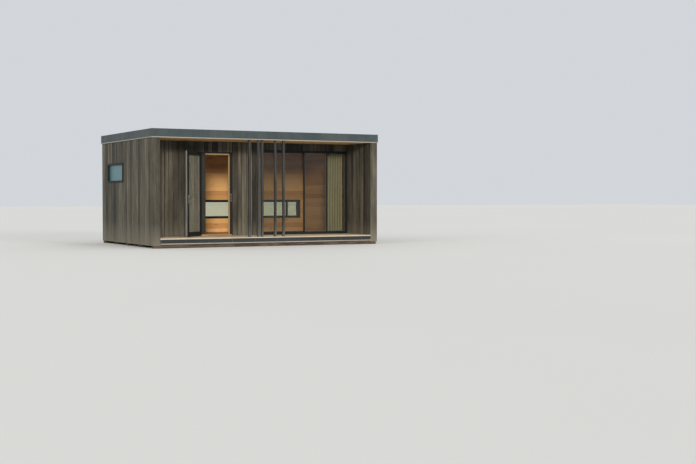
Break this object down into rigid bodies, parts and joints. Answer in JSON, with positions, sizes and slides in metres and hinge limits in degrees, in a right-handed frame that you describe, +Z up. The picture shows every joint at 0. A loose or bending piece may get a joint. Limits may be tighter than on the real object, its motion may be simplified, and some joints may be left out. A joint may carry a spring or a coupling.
{
  "type": "garden office pod",
  "caption": "Flat-roofed garden office cabin in black vertical timber boards, with a covered porch, a hinged glazed door, a sliding glass door and slim porch posts.",
  "frame": {"origin": "middle of the footprint, on the ground under the bearers", "axes": "+X along the front from left to right as seen from outside, +Y from the porch to the back wall, +Z up"},
  "size_m": [6.04, 4.04, 2.79],
  "materials": {
    "charred_timber": "matt",
    "frame_timber": "matt",
    "natural_timber": "satin",
    "pale_timber": "satin",
    "deck_timber": "matt",
    "base_timber": "matt",
    "fascia_metal": "satin",
    "dark_frame": "satin",
    "trim_metal": "satin",
    "roof_membrane": "matt",
    "clear_glass": "gloss",
    "frosted_glass": "satin",
    "handle_steel": "satin",
    "curtain_cloth": "matt"
  },
  "bodies": {
    "cabin": {"base_bearers": "base_timber", "base_frame": "base_timber", "floor_boards": "natural_timber", "deck_boards": "deck_timber", "deck_edge_board": "dark_frame", "deck_ledge": "trim_metal", "left_wall": "frame_timber", "right_wall": "frame_timber", "rear_wall": "frame_timber", "front_wall_left": "frame_timber", "front_wall_mid": "frame_timber", "front_wall_head": "frame_timber", "left_cladding": "charred_timber", "right_cladding": "charred_timber", "rear_cladding": "charred_timber", "front_cladding": "charred_timber", "fin_cladding": "charred_timber", "fin_caps": "charred_timber", "side_linings": "natural_timber", "end_linings": "natural_timber", "ceiling_boards": "natural_timber", "soffit_boards": "natural_timber", "roof_frame": "frame_timber", "roof_deck": "roof_membrane", "roof_fascia": "fascia_metal", "drip_trim": "trim_metal", "door_frame": "dark_frame", "door_lining": "pale_timber", "door_sill": "natural_timber", "door_fixings": "handle_steel", "patio_frame": "dark_frame", "fixed_panel": "dark_frame", "fixed_glass": "clear_glass", "side_window_frame": "dark_frame", "side_window_glass": "frosted_glass", "rear_window_frame": "dark_frame", "rear_window_glass": "clear_glass", "screen_posts": "charred_timber", "curtain": "curtain_cloth", "curtain_rail": "trim_metal"},
    "entrance_door": {"door_leaf": "dark_frame", "door_glass": "clear_glass", "door_hinges": "handle_steel", "door_handle": "handle_steel"},
    "sliding_door": {"sliding_panel": "dark_frame", "sliding_glass": "clear_glass", "slider_handle": "handle_steel"}
  },
  "joints": [
    {"name": "entrance_door_hinge", "type": "hinge", "parent": "cabin", "child": "entrance_door", "pos_m": [-1.3585, -0.74, 1.2], "axis": [0, 0, 1], "range_deg": [-27, 133]},
    {"name": "sliding_door_track", "type": "slide", "parent": "cabin", "child": "sliding_door", "axis": [1, 0, 0], "range_m": [0, 1.1]}
  ]
}
